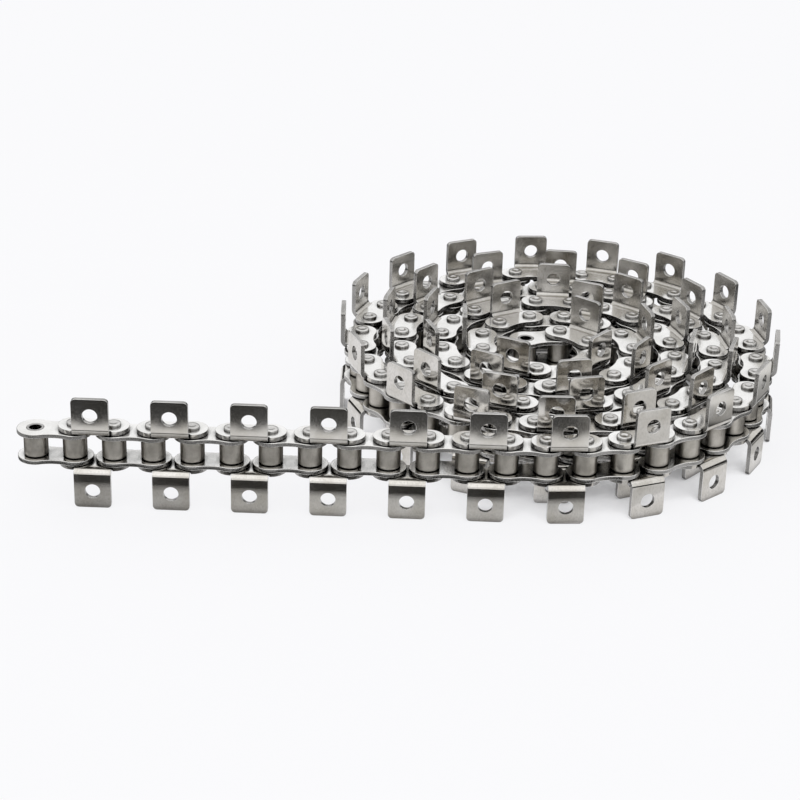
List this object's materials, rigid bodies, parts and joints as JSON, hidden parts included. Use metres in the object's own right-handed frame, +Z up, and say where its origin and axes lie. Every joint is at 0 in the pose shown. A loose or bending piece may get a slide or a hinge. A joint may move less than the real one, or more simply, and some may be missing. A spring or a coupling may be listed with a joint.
{
  "type": "roller chain with attachment tabs",
  "caption": "Steel roller chain with bent, drilled attachment tabs on both sides of every outer link, lying as a straight run that winds into a flat coil.",
  "frame": {"origin": "axis of the open bush at the chain's free end, at half the chain's height", "axes": "+X along the straight run, from the free end towards the coil; +Z up, along the pins; the tabs of the run face -Y and the coil lies on the +Y side"},
  "size_m": [0.2535, 0.1606, 0.0386],
  "materials": {
    "inner_plate_steel": "bright rolled and tumbled",
    "tab_plate_steel": "bright rolled, with a slightly satin face",
    "pin_steel": "turned, bright, riveted at the ends",
    "bush_steel": "curled strip, satin",
    "roller_steel": "satin, warm grey"
  },
  "bodies": {
    "inner_link_1": {"inner_link_1_plates": "inner_plate_steel", "inner_link_1_bushes": "bush_steel"},
    "inner_link_1_roller_a": {"inner_link_1_roller_a": "roller_steel"},
    "inner_link_1_roller_b": {"inner_link_1_roller_b": "roller_steel"},
    "outer_link_1": {"outer_link_1_tab_plates": "tab_plate_steel", "outer_link_1_pins": "pin_steel"},
    "inner_link_2": {"inner_link_2_plates": "inner_plate_steel", "inner_link_2_bushes": "bush_steel"},
    "inner_link_2_roller_a": {"inner_link_2_roller_a": "roller_steel"},
    "inner_link_2_roller_b": {"inner_link_2_roller_b": "roller_steel"},
    "outer_link_2": {"outer_link_2_tab_plates": "tab_plate_steel", "outer_link_2_pins": "pin_steel"},
    "inner_link_3": {"inner_link_3_plates": "inner_plate_steel", "inner_link_3_bushes": "bush_steel"},
    "inner_link_3_roller_a": {"inner_link_3_roller_a": "roller_steel"},
    "inner_link_3_roller_b": {"inner_link_3_roller_b": "roller_steel"},
    "outer_link_3": {"outer_link_3_tab_plates": "tab_plate_steel", "outer_link_3_pins": "pin_steel"},
    "inner_link_4": {"inner_link_4_plates": "inner_plate_steel", "inner_link_4_bushes": "bush_steel"},
    "inner_link_4_roller_a": {"inner_link_4_roller_a": "roller_steel"},
    "inner_link_4_roller_b": {"inner_link_4_roller_b": "roller_steel"},
    "outer_link_4": {"outer_link_4_tab_plates": "tab_plate_steel", "outer_link_4_pins": "pin_steel"},
    "inner_link_5": {"inner_link_5_plates": "inner_plate_steel", "inner_link_5_bushes": "bush_steel"},
    "inner_link_5_roller_a": {"inner_link_5_roller_a": "roller_steel"},
    "inner_link_5_roller_b": {"inner_link_5_roller_b": "roller_steel"},
    "outer_link_5": {"outer_link_5_tab_plates": "tab_plate_steel", "outer_link_5_pins": "pin_steel"},
    "inner_link_6": {"inner_link_6_plates": "inner_plate_steel", "inner_link_6_bushes": "bush_steel"},
    "inner_link_6_roller_a": {"inner_link_6_roller_a": "roller_steel"},
    "inner_link_6_roller_b": {"inner_link_6_roller_b": "roller_steel"},
    "outer_link_6": {"outer_link_6_tab_plates": "tab_plate_steel", "outer_link_6_pins": "pin_steel"},
    "front_arc": {"front_arc_inner_plates": "inner_plate_steel", "front_arc_bushes": "bush_steel", "front_arc_rollers": "roller_steel", "front_arc_tab_plates": "tab_plate_steel", "front_arc_pins": "pin_steel"},
    "right_arc": {"right_arc_inner_plates": "inner_plate_steel", "right_arc_bushes": "bush_steel", "right_arc_rollers": "roller_steel", "right_arc_tab_plates": "tab_plate_steel", "right_arc_pins": "pin_steel"},
    "back_arc": {"back_arc_inner_plates": "inner_plate_steel", "back_arc_bushes": "bush_steel", "back_arc_rollers": "roller_steel", "back_arc_tab_plates": "tab_plate_steel", "back_arc_pins": "pin_steel"},
    "coil": {"coil_inner_plates": "inner_plate_steel", "coil_bushes": "bush_steel", "coil_rollers": "roller_steel", "coil_tab_plates": "tab_plate_steel", "coil_pins": "pin_steel"},
    "last_link": {"last_link_plates": "inner_plate_steel", "last_link_bushes": "bush_steel", "last_link_rollers": "roller_steel"}
  },
  "joints": [
    {"name": "back_arc_hinge", "type": "hinge", "parent": "coil", "child": "back_arc", "pos_m": [0.19473, 0.1412, 0], "axis": [0, 0, 1], "range_deg": [0, 45]},
    {"name": "right_arc_hinge", "type": "hinge", "parent": "back_arc", "child": "right_arc", "pos_m": [0.23964, 0.084, 0], "axis": [0, 0, 1], "range_deg": [0, 45]},
    {"name": "front_arc_hinge", "type": "hinge", "parent": "right_arc", "child": "front_arc", "pos_m": [0.21224, 0.0164, 0], "axis": [0, 0, 1], "range_deg": [0, 45]},
    {"name": "pin_12_hinge", "type": "hinge", "parent": "front_arc", "child": "outer_link_6", "pos_m": [0.1524, 0, 0], "axis": [0, 0, 1], "range_deg": [-3, 22.5]},
    {"name": "pin_11_hinge", "type": "hinge", "parent": "outer_link_6", "child": "inner_link_6", "pos_m": [0.1397, 0, 0], "axis": [0, 0, 1], "range_deg": [-3, 22.5]},
    {"name": "pin_10_hinge", "type": "hinge", "parent": "inner_link_6", "child": "outer_link_5", "pos_m": [0.127, 0, 0], "axis": [0, 0, 1], "range_deg": [-3, 22.5]},
    {"name": "pin_9_hinge", "type": "hinge", "parent": "outer_link_5", "child": "inner_link_5", "pos_m": [0.1143, 0, 0], "axis": [0, 0, 1], "range_deg": [-3, 22.5]},
    {"name": "pin_8_hinge", "type": "hinge", "parent": "inner_link_5", "child": "outer_link_4", "pos_m": [0.1016, 0, 0], "axis": [0, 0, 1], "range_deg": [-3, 22.5]},
    {"name": "pin_7_hinge", "type": "hinge", "parent": "outer_link_4", "child": "inner_link_4", "pos_m": [0.0889, 0, 0], "axis": [0, 0, 1], "range_deg": [-3, 22.5]},
    {"name": "pin_6_hinge", "type": "hinge", "parent": "inner_link_4", "child": "outer_link_3", "pos_m": [0.0762, 0, 0], "axis": [0, 0, 1], "range_deg": [-22.5, 22.5]},
    {"name": "pin_5_hinge", "type": "hinge", "parent": "outer_link_3", "child": "inner_link_3", "pos_m": [0.0635, 0, 0], "axis": [0, 0, 1], "range_deg": [-22.5, 22.5]},
    {"name": "pin_4_hinge", "type": "hinge", "parent": "inner_link_3", "child": "outer_link_2", "pos_m": [0.0508, 0, 0], "axis": [0, 0, 1], "range_deg": [-22.5, 22.5]},
    {"name": "pin_3_hinge", "type": "hinge", "parent": "outer_link_2", "child": "inner_link_2", "pos_m": [0.0381, 0, 0], "axis": [0, 0, 1], "range_deg": [-22.5, 22.5]},
    {"name": "pin_2_hinge", "type": "hinge", "parent": "inner_link_2", "child": "outer_link_1", "pos_m": [0.0254, 0, 0], "axis": [0, 0, 1], "range_deg": [-22.5, 22.5]},
    {"name": "pin_1_hinge", "type": "hinge", "parent": "outer_link_1", "child": "inner_link_1", "pos_m": [0.0127, 0, 0], "axis": [0, 0, 1], "range_deg": [-22.5, 22.5]},
    {"name": "roller_0_spin", "type": "hinge", "parent": "inner_link_1", "child": "inner_link_1_roller_a", "pos_m": [0, 0, 0], "axis": [0, 0, 1], "continuous": true},
    {"name": "roller_1_spin", "type": "hinge", "parent": "inner_link_1", "child": "inner_link_1_roller_b", "pos_m": [0.0127, 0, 0], "axis": [0, 0, 1], "continuous": true},
    {"name": "roller_2_spin", "type": "hinge", "parent": "inner_link_2", "child": "inner_link_2_roller_a", "pos_m": [0.0254, 0, 0], "axis": [0, 0, 1], "continuous": true},
    {"name": "roller_3_spin", "type": "hinge", "parent": "inner_link_2", "child": "inner_link_2_roller_b", "pos_m": [0.0381, 0, 0], "axis": [0, 0, 1], "continuous": true},
    {"name": "roller_4_spin", "type": "hinge", "parent": "inner_link_3", "child": "inner_link_3_roller_a", "pos_m": [0.0508, 0, 0], "axis": [0, 0, 1], "continuous": true},
    {"name": "roller_5_spin", "type": "hinge", "parent": "inner_link_3", "child": "inner_link_3_roller_b", "pos_m": [0.0635, 0, 0], "axis": [0, 0, 1], "continuous": true},
    {"name": "roller_6_spin", "type": "hinge", "parent": "inner_link_4", "child": "inner_link_4_roller_a", "pos_m": [0.0762, 0, 0], "axis": [0, 0, 1], "continuous": true},
    {"name": "roller_7_spin", "type": "hinge", "parent": "inner_link_4", "child": "inner_link_4_roller_b", "pos_m": [0.0889, 0, 0], "axis": [0, 0, 1], "continuous": true},
    {"name": "roller_8_spin", "type": "hinge", "parent": "inner_link_5", "child": "inner_link_5_roller_a", "pos_m": [0.1016, 0, 0], "axis": [0, 0, 1], "continuous": true},
    {"name": "roller_9_spin", "type": "hinge", "parent": "inner_link_5", "child": "inner_link_5_roller_b", "pos_m": [0.1143, 0, 0], "axis": [0, 0, 1], "continuous": true},
    {"name": "roller_10_spin", "type": "hinge", "parent": "inner_link_6", "child": "inner_link_6_roller_a", "pos_m": [0.127, 0, 0], "axis": [0, 0, 1], "continuous": true},
    {"name": "roller_11_spin", "type": "hinge", "parent": "inner_link_6", "child": "inner_link_6_roller_b", "pos_m": [0.1397, 0, 0], "axis": [0, 0, 1], "continuous": true},
    {"name": "last_link_hinge", "type": "hinge", "parent": "coil", "child": "last_link", "pos_m": [0.17229, 0.08967, 0], "axis": [0, 0, 1], "range_deg": [0, 30]}
  ]
}
